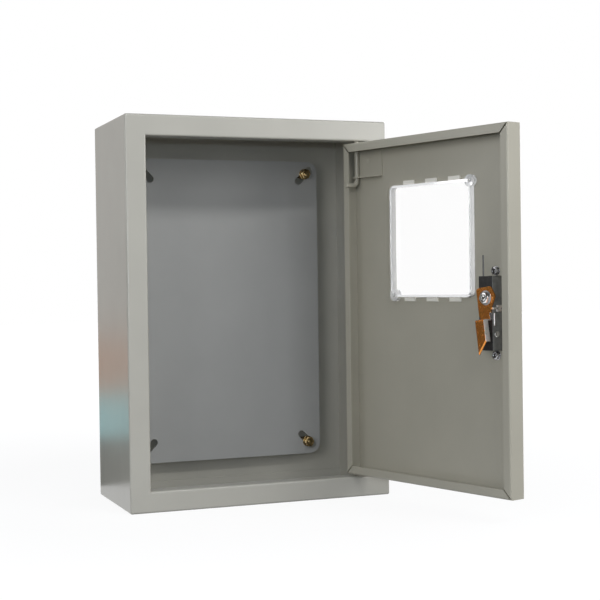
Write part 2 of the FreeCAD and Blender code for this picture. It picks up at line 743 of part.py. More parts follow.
def make_cam():
    """Flat head with a neck along its hinge side, stepped up to a tongue with one folded side."""
    body = new_body("lock_cam")
    root = "0 - cam_step_distance"
    head_side = "cam_head_width / 2"
    free_side = "tongue_offset - tongue_width / 2"
    hinge_side = "tongue_offset + tongue_width / 2"
    head = [(head_side, "cam_corner_rise"), (f"cam_corner_inset - {head_side}", "cam_corner_rise"),
            (f"0 - {head_side}", "0"), (free_side, "0 - cam_neck_drop"), (free_side, root),
            (hinge_side, root), (head_side, f"{root} + cam_neck_taper")]
    pad(body, "XZ", "cam_seat", "cam_top", head)
    corners = [FreeCAD.Vector(measure(across), 0, measure(up)) for across, up in head[:3]]
    round_edges(body, "cam_corner_radius", at_corners(corners))
    riser = rectangle(free_side, hinge_side, f"{root} - cam_thickness", root)
    pad(body, "XZ", "cam_seat", "tongue_top", riser)
    tip = "0 - tongue_length"
    bevel_start = f"{tip} + tongue_bevel"
    tongue = [(free_side, root), (hinge_side, root), (hinge_side, tip), (free_side, bevel_start)]
    pad(body, "XZ", "tongue_top - cam_thickness", "tongue_top", tongue)
    flange = rectangle(free_side, f"{free_side} + cam_thickness", bevel_start, root)
    pad(body, "XZ", "tongue_top - tongue_flange_depth", "tongue_top", flange)
    square = "spindle_square + 2 * running_clearance"
    pocket(body, "XZ", "cam_seat - cam_thickness", "cam_top + cam_thickness", centred(square, square))
    keep(body, "lock_cam", LATCH)


def make_cam_screw():
    bore = "cam_screw_diameter + 2 * running_clearance"
    ring = washer("cam_washer_diameter", "cam_washer_thickness", bore, ("0", "cam_top", "0"))
    keep(ring, "cam_washer", LATCH)
    head = hexagon("cam_screw_across_flats", "cam_screw_head_height", ("0", "cam_washer_top", "0"), ALONG_Y)
    shank_start = ("0", "cam_washer_top - cam_screw_length", "0")
    shank = rod("cam_screw_diameter", "cam_screw_length", shank_start, ALONG_Y)
    keep(joined(head, shank), "cam_screw", LATCH)


def make_handle():
    body = new_body("lock_handle")
    hub = ("0", "0", "handle_hub_diameter / 2")
    pad(body, "XZ", "handle_outer_face", "handle_inner_face", hub)
    grip = [("0", "0 - handle_width / 2"), ("handle_length", "0 - handle_tip_width / 2"),
            ("handle_length", "handle_tip_width / 2"), ("0", "handle_width / 2")]
    pad(body, "XZ", "handle_outer_face", "handle_inner_face", grip)
    tip = measure("handle_length")
    round_edges(body, "handle_tip_width / 3",
                lambda middle, edge: near(middle.x, tip) and runs_along(edge, Y_AXIS))
    outer_level = measure("handle_outer_face")
    bevel_edges(body, "handle_bevel", lambda middle, edge: near(middle.y, outer_level))
    socket = ("0", "0", "spindle_diameter / 2 + running_clearance")
    pocket(body, "XZ", "handle_inner_face - spindle_socket", "handle_inner_face + spindle_socket", socket)
    keep(body, "lock_handle", LATCH)


# Build, check and export

def check_document():
    doc.recompute()
    for item in doc.Objects:
        if "Invalid" in item.State or "Error" in item.State:
            raise RuntimeError(f"{item.Label} failed: {item.State}")
    for item in subparts:
        if item.Shape.isNull() or not item.Shape.isValid() or not item.Shape.Solids:
            raise RuntimeError(f"{item.Label} has no valid solid")


def export():
    os.makedirs("parts", exist_ok=True)
    for item in subparts:
        item.Shape.exportStep(f"parts/{item.Label}.step")


make_cabinet_shell()
make_mounting_plate()
make_plate_fixings()
make_door_panel()
make_hinge_bracket()
make_hinge_pins()
make_window_pane()
make_lock_body()
make_lock_fixings()
make_lock_side_parts()
make_spindle()
make_cam()
make_cam_screw()
make_handle()
check_document()
export()
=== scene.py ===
"""Dresses a sheet-steel electric meter box: powder coat, plated fixings, clear window, lock and studio.

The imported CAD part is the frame. Rigid pieces whose shape is right keep their CAD mesh and get a finish;
fixings, the window and the lock are rebuilt with threads, chamfers and broken edges in the same places.
"""

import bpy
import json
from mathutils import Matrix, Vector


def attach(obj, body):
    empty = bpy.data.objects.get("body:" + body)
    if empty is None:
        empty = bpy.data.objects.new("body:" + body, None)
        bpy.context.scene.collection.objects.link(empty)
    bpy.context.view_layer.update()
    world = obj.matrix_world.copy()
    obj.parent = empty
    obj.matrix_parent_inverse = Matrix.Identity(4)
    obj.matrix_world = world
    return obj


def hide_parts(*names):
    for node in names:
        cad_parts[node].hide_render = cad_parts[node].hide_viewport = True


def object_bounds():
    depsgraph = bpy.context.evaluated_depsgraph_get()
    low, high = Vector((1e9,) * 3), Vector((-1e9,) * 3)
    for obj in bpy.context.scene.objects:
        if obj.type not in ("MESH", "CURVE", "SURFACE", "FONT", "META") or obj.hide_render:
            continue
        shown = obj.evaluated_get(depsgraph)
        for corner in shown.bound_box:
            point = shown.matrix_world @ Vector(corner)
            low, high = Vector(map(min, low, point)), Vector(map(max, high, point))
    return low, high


bl_info = {
    "name": "Meter box dressing",
    "version": (1, 0, 0),
    "blender": (4, 5, 0),
    "location": "View3D > Sidebar > Meter Box",
    "description": "Finishes, fine parts and studio for a sheet-steel electric meter box",
    "category": "Object",
}

import json
import math

import bmesh
import bpy
from bpy.props import FloatProperty, FloatVectorProperty, PointerProperty
from mathutils import Matrix, Vector

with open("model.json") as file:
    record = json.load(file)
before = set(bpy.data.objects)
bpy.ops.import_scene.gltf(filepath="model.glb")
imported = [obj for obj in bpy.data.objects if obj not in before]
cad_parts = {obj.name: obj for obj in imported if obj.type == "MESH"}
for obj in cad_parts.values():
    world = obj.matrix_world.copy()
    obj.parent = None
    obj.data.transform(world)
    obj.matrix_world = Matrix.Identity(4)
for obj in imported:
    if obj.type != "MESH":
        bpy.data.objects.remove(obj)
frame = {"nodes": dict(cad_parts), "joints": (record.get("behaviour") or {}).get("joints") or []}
CAD_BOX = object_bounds()

MM = 0.001
UP = Vector((0, 0, 1))
TO_FRONT = Vector((0, -1, 0))
LATCH_AXIS = next(joint["axis"] for joint in frame["joints"] if joint["name"] == "latch_turn")
INTO_DOOR = Vector(LATCH_AXIS).normalized()
TO_HINGE = INTO_DOOR.cross(UP).normalized()
TO_FREE_SIDE = -TO_HINGE


# Settings that a user would change

class MeterBoxView(bpy.types.PropertyGroup):
    """Where the picture is taken from."""

    place: FloatVectorProperty(
        name="Place", description="Camera place in the part's frame", size=3,
        default=(-0.453555, -1.399552, 0.031625), subtype="TRANSLATION", unit="LENGTH")
    yaw: FloatProperty(
        name="Yaw", description="Turn of the view to the right", default=math.radians(21.389),
        subtype="ANGLE", unit="ROTATION")
    pitch: FloatProperty(
        name="Pitch", description="Tilt of the view downwards", default=math.radians(0.873),
        subtype="ANGLE", unit="ROTATION")
    roll: FloatProperty(
        name="Roll", description="Turn of the picture about the view", default=math.radians(-0.795),
        subtype="ANGLE", unit="ROTATION")
    lens: FloatProperty(
        name="Lens", description="Focal length in millimetres on a sensor 36 mm wide", default=77.94, min=10)


class MeterBoxLight(bpy.types.PropertyGroup):
    """Lamps and surroundings of the studio."""

    strip_power: FloatProperty(
        name="Strip power", description="Power of the long thin lamp above the front", default=8.8, min=0,
        subtype="POWER", unit="POWER")
    right_power: FloatProperty(
        name="Right power", description="Power of the softbox at the front right", default=10.9, min=0,
        subtype="POWER", unit="POWER")
    left_power: FloatProperty(
        name="Left power", description="Power of the softbox at the left", default=4.6, min=0,
        subtype="POWER", unit="POWER")
    left_front_power: FloatProperty(
        name="Left front power", description="Power of the softbox at the front left", default=8.1, min=0,
        subtype="POWER", unit="POWER")
    rear_power: FloatProperty(
        name="Rear power", description="Power of the left softbox behind the box; the right one has twice that",
        default=2.6, min=0, subtype="POWER", unit="POWER")
    flash_power: FloatProperty(
        name="Flash power", description="Power of the small lamp just over the lens", default=1.4, min=0,
        subtype="POWER", unit="POWER")
    flash_colour: FloatVectorProperty(
        name="Flash colour", description="Colour of the small lamp just over the lens", size=3, min=0, max=1,
        default=(0.74, 0.86, 1.0), subtype="COLOR")
    sky_colour: FloatVectorProperty(
        name="Sky colour", description="Colour of the light from the surroundings", size=3, min=0, max=1,
        default=(0.82, 0.88, 1.0), subtype="COLOR")
    sky_level: FloatProperty(
        name="Sky level", description="Light from the surroundings above the horizon", default=0.38, min=0)
    ground_level: FloatProperty(
        name="Ground level", description="Light from the surroundings below the horizon", default=0.05, min=0)
    paper_level: FloatProperty(
        name="Paper level", description="Brightness of the floor beside the box", default=0.9, min=0)


class MeterBoxFinish(bpy.types.PropertyGroup):
    """Colours of the finishes."""

    cabinet_coat: FloatVectorProperty(
        name="Cabinet coat", description="Powder coat of the cabinet", size=3, min=0, max=1,
        default=(0.510, 0.494, 0.434), subtype="COLOR")
    plate_coat: FloatVectorProperty(
        name="Plate coat", description="Powder coat of the mounting plate", size=3, min=0, max=1,
        default=(0.42, 0.42, 0.405), subtype="COLOR")
    # The cabinet's powder coat, set darker and warmer for the door: painted shade for the door's shaded inside.
    door_coat: FloatVectorProperty(
        name="Door coat", description="Powder coat of the door and its hinge", size=3, min=0, max=1,
        default=(0.448, 0.425, 0.347), subtype="COLOR")
    # The zinc's own gold, darkened as painted shade for the dark surroundings the fixings mirror.
    yellow_zinc: FloatVectorProperty(
        name="Yellow zinc", description="Passivated zinc of the plate fixings", size=3, min=0, max=1,
        default=(0.42, 0.32, 0.16), subtype="COLOR")
    cam_zinc: FloatVectorProperty(
        name="Cam zinc", description="Brown-gold zinc of the cam", size=3, min=0, max=1,
        default=(0.76, 0.31, 0.075), subtype="COLOR")
    lock_black: FloatVectorProperty(
        name="Lock black", description="Dark coat of the lock casting", size=3, min=0, max=1,
        default=(0.04, 0.039, 0.038), subtype="COLOR")
    # Painted light: a lighter grey on the lock casting's free side, which the door's free return keeps in shade.
    cast_grey: FloatVectorProperty(
        name="Cast grey", description="Lighter grey painted on the lock casting's shaded free side", size=3, min=0, max=1,
        default=(0.24, 0.236, 0.22), subtype="COLOR")
    bright_steel: FloatVectorProperty(
        name="Bright steel", description="Nickel of the cam's screw and the side screw", size=3, min=0, max=1,
        default=(0.82, 0.82, 0.82), subtype="COLOR")
    spring_steel: FloatVectorProperty(
        name="Spring steel", description="Plain zinc of the spindle and the cam's washer", size=3, min=0, max=1,
        default=(0.42, 0.42, 0.43), subtype="COLOR")
    grey_nickel: FloatVectorProperty(
        name="Grey nickel", description="Plating of the lock's screws, washers and nuts", size=3, min=0, max=1,
        default=(0.46, 0.46, 0.48), subtype="COLOR")
    spring_wire: FloatVectorProperty(
        name="Spring wire", description="Dark steel of the spring's leg", size=3, min=0, max=1,
        default=(0.13, 0.13, 0.13), subtype="COLOR")
    pale_zinc: FloatVectorProperty(
        name="Pale zinc", description="Zinc of the clip, the strip and the cam's folded side", size=3,
        min=0, max=1, default=(0.95, 0.94, 0.94), subtype="COLOR")
    window_tint: FloatVectorProperty(
        name="Window tint", description="Tint of the clear window", size=3, min=0, max=1,
        default=(1.0, 1.0, 1.0), subtype="COLOR")
    tab_tint: FloatVectorProperty(
        name="Tab tint", description="Tint of the window's milky tabs", size=3, min=0, max=1,
        default=(1.0, 0.97, 0.88), subtype="COLOR")


class MeterBoxDetail(bpy.types.PropertyGroup):
    """Sizes of fine detail."""

    stud_pitch: FloatProperty(
        name="Stud pitch", description="Thread pitch of the plate studs", default=1.0 * MM,
        subtype="DISTANCE", unit="LENGTH")
    screw_pitch: FloatProperty(
        name="Screw pitch", description="Thread pitch of the lock screws", default=0.8 * MM,
        subtype="DISTANCE", unit="LENGTH")
    casting_edge: FloatProperty(
        name="Casting edge", description="Radius on the edges of the lock casting and handle",
        default=0.45 * MM, subtype="DISTANCE", unit="LENGTH")
    sheet_edge: FloatProperty(
        name="Sheet edge", description="Radius on the punched edges of the cam and bracket",
        default=0.4 * MM, subtype="DISTANCE", unit="LENGTH")
    stud_bevel: FloatProperty(
        name="Stud bevel", description="Length of the cone at the end of a plate stud", default=0.8 * MM,
        subtype="DISTANCE", unit="LENGTH")
    screw_bevel: FloatProperty(
        name="Screw bevel", description="Length of the cone at the end of a lock screw", default=0.7 * MM,
        subtype="DISTANCE", unit="LENGTH")
    weld_radius: FloatProperty(
        name="Weld radius", description="Radius of the electrode that dimpled the hinge leaf", default=7.0 * MM,
        subtype="DISTANCE", unit="LENGTH")
    weld_depth: FloatProperty(
        name="Weld depth", description="Depth of the spot weld's dimple", default=0.8 * MM,
        subtype="DISTANCE", unit="LENGTH")
    rolled_edge: FloatProperty(
        name="Rolled edge", description="Radius where the cam's tongue is bent", default=1.4 * MM,
        subtype="DISTANCE", unit="LENGTH")
    pin_edge: FloatProperty(
        name="Pin edge", description="Radius on the ends of the bent hinge pin", default=1.2 * MM,
        subtype="DISTANCE", unit="LENGTH")
    wire_edge: FloatProperty(
        name="Wire edge", description="Radius on the bent wire of the lock's clip and strip",
        default=0.7 * MM, subtype="DISTANCE", unit="LENGTH")
    window_edge: FloatProperty(
        name="Window edge", description="Radius on the moulded edges of the window",
        default=0.35 * MM, subtype="DISTANCE", unit="LENGTH")
    window_overlap: FloatProperty(
        name="Window overlap", description="How far the window's outer flange laps the door", default=6.0 * MM,
        subtype="DISTANCE", unit="LENGTH")
    window_lift: FloatProperty(
        name="Window lift", description="Gap between the window's outer flange and the door", default=0.1 * MM,
        subtype="DISTANCE", unit="LENGTH")
    pane_depth: FloatProperty(
        name="Pane depth", description="Depth from the outer face that is clear pane", default=3.0 * MM,
        subtype="DISTANCE", unit="LENGTH")
    lug_length: FloatProperty(
        name="Lug length", description="Length of each corner of the window that its lug takes up",
        default=10.0 * MM, subtype="DISTANCE", unit="LENGTH")
    peel_size: FloatProperty(
        name="Peel size", description="Width of the ripple in the powder coat", default=1.4 * MM,
        subtype="DISTANCE", unit="LENGTH")


# Meshes

WELD = 0.001 * MM
FLAT_ANGLE = math.radians(0.2)
SHARP_ANGLE = math.radians(35)
SMOOTH_ANGLE = math.radians(32)
BROAD_FACE_WEIGHT = 80

ROUND_POINTS = 48
HEXAGON_POINTS = 72
HALF_SIDE = math.pi / 6
CHAMFER_REACH = 0.95
CHAMFER_SLOPE = math.tan(math.radians(30))
COUNTERSINK = 0.12

THREAD_COLUMNS = 24
THREAD_ROWS = 6
THREAD_DEPTH = 0.54
THREAD_FLANK = 2.6

# Least cosines for a face that looks along a direction loosely, closely and exactly
LOOSELY, CLOSELY, EXACTLY = 0.7, 0.9, 0.99


def cad_mesh(node):
    """A copy of a CAD node's mesh with its corners joined."""
    mesh = bmesh.new()
    mesh.from_mesh(frame["nodes"][node].data)
    bmesh.ops.remove_doubles(mesh, verts=mesh.verts, dist=WELD)
    return mesh


def solids(node):
    """The corner points of each separate solid of a CAD node."""
    mesh = cad_mesh(node)
    seen = set()
    groups = []
    for start in mesh.verts:
        if start in seen:
            continue
        seen.add(start)
        reached = [start]
        for vert in reached:
            for edge in vert.link_edges:
                other = edge.other_vert(vert)
                if other not in seen:
                    seen.add(other)
                    reached.append(other)
        groups.append([vert.co.copy() for vert in reached])
    mesh.free()
    return groups


class Seat:
    """Where a turned or hexagonal solid sits: local Z runs along its axis from its start, X to a corner."""

    def __init__(self, points, axis):
        side = axis.orthogonal().normalized()
        turn = Matrix((side, axis.cross(side), axis))
        local = [turn @ point for point in points]
        lows, highs = ([pick(point[i] for point in local) for i in range(3)] for pick in (min, max))
        start = turn.inverted() @ Vector(((lows[0] + highs[0]) / 2, (lows[1] + highs[1]) / 2, lows[2]))
        spread = [point - start - axis * (point - start).dot(axis) for point in points]
        corner = max(spread, key=lambda offset: offset.length)
        self.length = highs[2] - lows[2]
        self.radius = corner.length
        across = corner.normalized()
        self.matrix = Matrix((across, axis.cross(across), axis)).transposed().to_4x4()
        self.matrix.translation = start


def add_rings(mesh, matrix, rings, closed):
    """Skins rings of equal count; a closed skin joins the last ring to the first, an open one is capped."""
    loops = [[mesh.verts.new(matrix @ Vector(point)) for point in ring] for ring in rings]
    pairs = list(zip(loops, loops[1:]))
    if closed:
        pairs.append((loops[-1], loops[0]))
    for low, high in pairs:
        for i in range(len(low)):
            j = (i + 1) % len(low)
            mesh.faces.new((low[i], low[j], high[j], high[i]))
    if not closed:
        mesh.faces.new(loops[0][::-1])
        mesh.faces.new(loops[-1])


def round_ring(radius, level, count=ROUND_POINTS):
    angles = [2 * math.pi * i / count for i in range(count)]
    return [(radius * math.cos(angle), radius * math.sin(angle), level) for angle in angles]


def add_turned(mesh, matrix, profile, closed=False):
    """A turned solid from (radius, level) pairs."""
    add_rings(mesh, matrix, [round_ring(radius, level) for radius, level in profile], closed)


def soften(low, high, inner, outer, edge):
    """Profile of a flat ring whose four edges are rounded."""
    turns = [math.radians(angle) for angle in (0, 30, 60, 90)]
    corners = (((outer - edge, low + edge), (1, -1), True), ((outer - edge, high - edge), (1, 1), False),
               ((inner + edge, high - edge), (-1, 1), True), ((inner + edge, low + edge), (-1, -1), False))
    profile = []
    for (radius, level), (out, rise), falling in corners:
        for turn in turns:
            angle = math.pi / 2 - turn if falling else turn
            profile.append((radius + out * edge * math.cos(angle), level + rise * edge * math.sin(angle)))
    return profile


def add_thread(mesh, matrix, radius, length, pitch, bevel):
    """A rod with a V thread along its whole length and a coned far end."""
    rows = math.ceil(length / pitch * THREAD_ROWS)
    depth = THREAD_DEPTH * pitch
    rings = []
    for row in range(rows + 1):
        level = length * row / rows
        limit = radius - max(0, bevel - (length - level))
        ring = []
        for column in range(THREAD_COLUMNS):
            turn = column / THREAD_COLUMNS
            phase = (level / pitch - turn) % 1
            crest = min(1, THREAD_FLANK * abs(phase - 0.5))
            reach = min(limit, radius - depth * (1 - crest))
            angle = 2 * math.pi * turn
            ring.append((reach * math.cos(angle), reach * math.sin(angle), level))
        rings.append(ring)
    add_rings(mesh, matrix, rings, closed=False)


def chamfer_radius(corner):
    """Radius at which the chamfer of a hexagon starts on its face."""
    return CHAMFER_REACH * corner * math.cos(HALF_SIDE)


def hexagon_ring(corner, level, drop_side):
    """Points round a hexagon: its edge, lowered (1) or raised (-1) by the chamfer, or its chamfered face (0)."""
    cone = chamfer_radius(corner)
    ring = []
    for i in range(HEXAGON_POINTS):
        angle = 2 * math.pi * i / HEXAGON_POINTS
        reach = corner * math.cos(HALF_SIDE) / math.cos(angle % (2 * HALF_SIDE) - HALF_SIDE)
        if drop_side:
            at = level - drop_side * max(0, reach - cone) * CHAMFER_SLOPE
        else:
            reach = min(reach, cone)
            at = level
        ring.append((reach * math.cos(angle), reach * math.sin(angle), at))
    return ring


def add_nut(mesh, matrix, corner, height, bore):
    """A hexagon nut, chamfered on both faces and countersunk at its bore."""
    sink = COUNTERSINK * bore
    rings = [round_ring(bore, sink, HEXAGON_POINTS), round_ring(bore + sink, 0, HEXAGON_POINTS),
             hexagon_ring(corner, 0, 0), hexagon_ring(corner, 0, -1),
             hexagon_ring(corner, height, 1), hexagon_ring(corner, height, 0),
             round_ring(bore + sink, height, HEXAGON_POINTS), round_ring(bore, height - sink, HEXAGON_POINTS)]
    add_rings(mesh, matrix, rings, closed=True)


def add_box(mesh, matrix, size):
    bmesh.ops.create_cube(mesh, size=1, matrix=matrix @ Matrix.Diagonal((*size, 1)))


def round_edges(mesh, edges, width, segments):
    bmesh.ops.bevel(mesh, geom=edges, offset=width, offset_type="OFFSET", segments=segments, profile=0.5,
                    affect="EDGES", clamp_overlap=True)


def broken_edges(node, width, segments=2, is_rolled=None, rolled_width=0):
    """A copy of a CAD node's mesh with its facets merged and its sharp edges rounded, rolled ones more widely."""
    mesh = cad_mesh(node)
    bmesh.ops.dissolve_limit(mesh, angle_limit=FLAT_ANGLE, verts=mesh.verts, edges=mesh.edges)
    if is_rolled:
        rolled = [edge for edge in mesh.edges if edge.is_manifold and is_rolled(edge)]
        round_edges(mesh, rolled, rolled_width, segments=4)
    sharp = [edge for edge in mesh.edges if edge.is_manifold and edge.calc_face_angle(0) > SHARP_ANGLE]
    round_edges(mesh, sharp, width, segments)
    return mesh


# Objects

def add_object(name, mesh):
    """Turns a bmesh into an object of the scene."""
    data = bpy.data.meshes.new(name)
    mesh.to_mesh(data)
    mesh.free()
    item = bpy.data.objects.new(name, data)
    bpy.context.scene.collection.objects.link(item)
    return item


def add_piece(name, mesh, finishes, body, node):
    """Turns a bmesh into a piece that rides on a body and stands for a CAD node; faces count through its finishes."""
    bmesh.ops.recalc_face_normals(mesh, faces=mesh.faces)
    piece = add_object(name, mesh)
    piece.data.shade_smooth()
    piece.data.set_sharp_from_angle(angle=SMOOTH_ANGLE)
    for finish in finishes:
        piece.data.materials.append(material(finish))
    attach(piece, body)
    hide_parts(node)
    return piece


def add_nuts(name, node, axis, bore, finish, body):
    """The nuts of a CAD node, chamfered and countersunk."""
    mesh = bmesh.new()
    for points in solids(node):
        seat = Seat(points, axis)
        add_nut(mesh, seat.matrix, seat.radius, seat.length, bore)
    add_piece(name, mesh, [finish], body, node)


def add_washers(name, node, axis, bore, edge, finish, body):
    """The washers of a CAD node, with rounded edges."""
    mesh = bmesh.new()
    for points in solids(node):
        seat = Seat(points, axis)
        add_turned(mesh, seat.matrix, soften(0, seat.length, bore, seat.radius, edge), closed=True)
    add_piece(name, mesh, [finish], body, node)


def weigh_normals(piece):
    """Keeps broad faces flat in the light beside their rounded edges."""
    modifier = piece.modifiers.new("Flat faces", "WEIGHTED_NORMAL")
    modifier.keep_sharp = True
    modifier.weight = BROAD_FACE_WEIGHT


def cut(piece, mesh):
    """Cuts a bmesh out of a piece."""
    bmesh.ops.recalc_face_normals(mesh, faces=mesh.faces)
    cutter = add_object("Cutter", mesh)
    modifier = piece.modifiers.new("Cut", "BOOLEAN")
    modifier.operation = "DIFFERENCE"
    modifier.solver = "EXACT"
    modifier.object = cutter
    evaluated = piece.evaluated_get(bpy.context.evaluated_depsgraph_get())
    old = piece.data
    piece.data = bpy.data.meshes.new_from_object(evaluated)
    piece.data.name = old.name
    piece.modifiers.clear()
    bpy.data.meshes.remove(old)
    bpy.data.meshes.remove(cutter.data)
    piece.data.set_sharp_from_angle(angle=SMOOTH_ANGLE)


# Finishes

class Finish:
    """A material built round one Principled shader, patterned in the piece's own coordinates."""

    def __init__(self, name):
        self.material = bpy.data.materials.new(name)
        self.material.use_nodes = True
        self.tree = self.material.node_tree
        self.shader = self.tree.nodes["Principled BSDF"]
        self.place = self.tree.nodes.new("ShaderNodeTexCoord").outputs["Object"]

    def set(self, name, value):
        self.shader.inputs[name].default_value = value

    def noise(self, size, detail=2.0, stretch=None):
        """Noise whose blotches are about the given width in metres."""
        node = self.tree.nodes.new("ShaderNodeTexNoise")
        node.inputs["Scale"].default_value = 1 / size
        node.inputs["Detail"].default_value = detail
        place = self.place
        if stretch:
            mapping = self.tree.nodes.new("ShaderNodeMapping")
            mapping.inputs["Scale"].default_value = stretch
            self.tree.links.new(place, mapping.inputs["Vector"])
            place = mapping.outputs["Vector"]
        self.tree.links.new(place, node.inputs["Vector"])
        return node.outputs["Fac"]

    def colours(self, source, stops):
        """Colours the piece by (level, colour) stops along a noise."""
        node = self.tree.nodes.new("ShaderNodeValToRGB")
        ramp = node.color_ramp
        while len(ramp.elements) < len(stops):
            ramp.elements.new(0.5)
        for element, (at, colour) in zip(ramp.elements, stops):
            element.position = at
            element.color = (*colour, 1)
        self.tree.links.new(source, node.inputs["Fac"])
        self.tree.links.new(node.outputs["Color"], self.shader.inputs["Base Color"])

    def roughness(self, source, low, high):
        node = self.tree.nodes.new("ShaderNodeMapRange")
        node.inputs["To Min"].default_value = low
        node.inputs["To Max"].default_value = high
        self.tree.links.new(source, node.inputs["Value"])
        self.tree.links.new(node.outputs["Result"], self.shader.inputs["Roughness"])

    def bump(self, source, height, strength):
        node = self.tree.nodes.new("ShaderNodeBump")
        node.inputs["Distance"].default_value = height
        node.inputs["Strength"].default_value = strength
        self.tree.links.new(source, node.inputs["Height"])
        self.tree.links.new(node.outputs["Normal"], self.shader.inputs["Normal"])


def shade(colour, factor):
    return tuple(min(1.0, channel * factor) for channel in colour)


def powder_coat(name, colour, roughness):
    """Satin powder coat: faint mottling and a fine orange-peel ripple."""
    peel_size = bpy.context.scene.meter_box_detail.peel_size
    finish = Finish(name)
    finish.colours(finish.noise(0.06, 4), ((0.35, shade(colour, 0.975)), (0.65, shade(colour, 1.02))))
    finish.roughness(finish.noise(0.02, 3), roughness * 0.9, roughness * 1.1)
    finish.bump(finish.noise(peel_size, 2), 0.06 * MM, 0.35)
    return finish.material


def passivated_zinc(name, colour, roughness):
    """Zinc with the patchy gold, green and pink of a chromate passivation."""
    finish = Finish(name)
    red, green, blue = colour
    finish.set("Metallic", 1.0)
    finish.colours(finish.noise(3 * MM, 3), (
        (0.30, (red * 0.80, green * 0.86, blue * 0.80)), (0.45, colour),
        (0.58, (min(1, red * 1.08), green * 0.97, blue * 0.95)), (0.72, shade(colour, 1.12))))
    finish.roughness(finish.noise(1.5 * MM, 3), roughness * 0.8, roughness * 1.3)
    finish.bump(finish.noise(0.5 * MM, 2), 0.02 * MM, 0.3)
    return finish.material


def plated_steel(name, colour, roughness):
    """Bright or dull plated steel with fine drawn lines."""
    finish = Finish(name)
    finish.set("Metallic", 1.0)
    finish.colours(finish.noise(4 * MM, 3), ((0.3, shade(colour, 0.93)), (0.7, shade(colour, 1.04))))
    finish.roughness(finish.noise(0.8 * MM, 2, (1, 1, 0.2)), roughness * 0.7, roughness * 1.4)
    finish.bump(finish.noise(0.4 * MM, 2), 0.01 * MM, 0.25)
    return finish.material


def casting_coat(name, colour, roughness):
    """Dark coat over a pressure casting, with its fine grain."""
    finish = Finish(name)
    finish.colours(finish.noise(5 * MM, 3), ((0.3, shade(colour, 0.8)), (0.7, shade(colour, 1.25))))
    finish.roughness(finish.noise(2 * MM, 3), roughness * 0.8, roughness * 1.2)
    finish.bump(finish.noise(0.6 * MM, 3), 0.03 * MM, 0.4)
    return finish.material


def clear_plastic(name, colour, roughness):
    """Clear moulded plastic, with faintly uneven tint and gloss."""
    finish = Finish(name)
    finish.set("IOR", 1.2)
    finish.set("Transmission Weight", 1.0)
    finish.colours(finish.noise(0.03, 2), ((0.3, shade(colour, 0.995)), (0.7, colour)))
    finish.roughness(finish.noise(0.02, 2), 0.0, roughness)
    return finish.material


def milky_plastic(name, colour, clearness):
    """The same plastic made milky and only partly clear, with fine flow lines."""
    finish = Finish(name)
    finish.set("IOR", 1.49)
    finish.set("Transmission Weight", clearness)
    finish.colours(finish.noise(6 * MM, 3), ((0.3, shade(colour, 0.96)), (0.7, colour)))
    finish.roughness(finish.noise(3 * MM, 3), 0.04, 0.12)
    finish.bump(finish.noise(3 * MM, 1), 0.02 * MM, 0.15)
    return finish.material


# Each finish: how it is made, the setting with its colour, and its roughness or, if milky, its clearness
FINISHES = {
    "Cabinet coat": (powder_coat, "cabinet_coat", 0.24),
    "Plate coat": (powder_coat, "plate_coat", 0.44),
    # Painted shade: the cabinet's coat darkened for the door
    "Door coat": (powder_coat, "door_coat", 0.33),
    # Painted shade: zinc darkened for its dark reflections
    "Yellow zinc": (passivated_zinc, "yellow_zinc", 0.24),
    "Cam zinc": (passivated_zinc, "cam_zinc", 0.24),
    "Pale zinc": (passivated_zinc, "pale_zinc", 0.45),
    "Lock black": (casting_coat, "lock_black", 0.2),
    # Painted light for the lock casting's shaded free side
    "Cast grey": (casting_coat, "cast_grey", 0.42),
    "Bright steel": (plated_steel, "bright_steel", 0.12),
    "Grey nickel": (plated_steel, "grey_nickel", 0.12),
    "Spring steel": (plated_steel, "spring_steel", 0.3),
    "Spring wire": (plated_steel, "spring_wire", 0.3),
    "Clear plastic": (clear_plastic, "window_tint", 0.02),
    "Milky rim": (milky_plastic, "window_tint", 0.6),
    "Thin tabs": (milky_plastic, "tab_tint", 0.1),
}


def material(name):
    """The material of a finish, made on first use."""
    made = bpy.data.materials.get(name)
    if made is None:
        make, setting, value = FINISHES[name]
        made = make(name, tuple(getattr(bpy.context.scene.meter_box_finish, setting)), value)
    return made


def paint(node, finish):
    """Gives a CAD node its finish."""
    data = frame["nodes"][node].data
    data.materials.clear()
    data.materials.append(material(finish))


# Studio

SENSOR_WIDTH = 36
AIM = Vector((0, -0.1, 0.02))
CARD_FOOT = CAD_BOX[0].z + 2 * MM
FLOOR_HALF = 6
FLOOR_GREY = 0.12
PAPER_FADE = 0.3, 1.2
HORIZON = 0.25
FLASH_RISE = 0.075
FLASH_SIZE = 0.06, 0.03

# Each lamp: its place, its width and height, the setting with its power, and how many times that power it has
LAMPS = (
    ("Strip lamp", (0.42, -1.46, 1.0), (1.3, 0.05), "strip_power", 1),
    ("Right softbox", (1.3, -1.7, 0.5), (1.1, 0.8), "right_power", 1),
    ("Left softbox", (-1.8, -0.4, 0.5), (1.2, 1.2), "left_power", 1),
    ("Left front softbox", (-1.5, -1.6, 0.4), (0.8, 0.8), "left_front_power", 1),
    ("Left rear softbox", (-1.6, 0.9, 0.4), (1.0, 1.0), "rear_power", 1),
    ("Right rear softbox", (1.6, 0.9, 0.6), (1.0, 1.0), "rear_power", 2),
)


def standing(start, end, top):
    """Corners of a card that stands on the floor from one point to another."""
    return (*start, CARD_FOOT), (*end, CARD_FOOT), (*end, top), (*start, top)


def lying(near_left, far_right, height=CARD_FOOT):
    """Corners of a card that lies flat at a height."""
    (left, near), (right, far) = near_left, far_right
    return (left, near, height), (right, near, height), (right, far, height), (left, far, height)


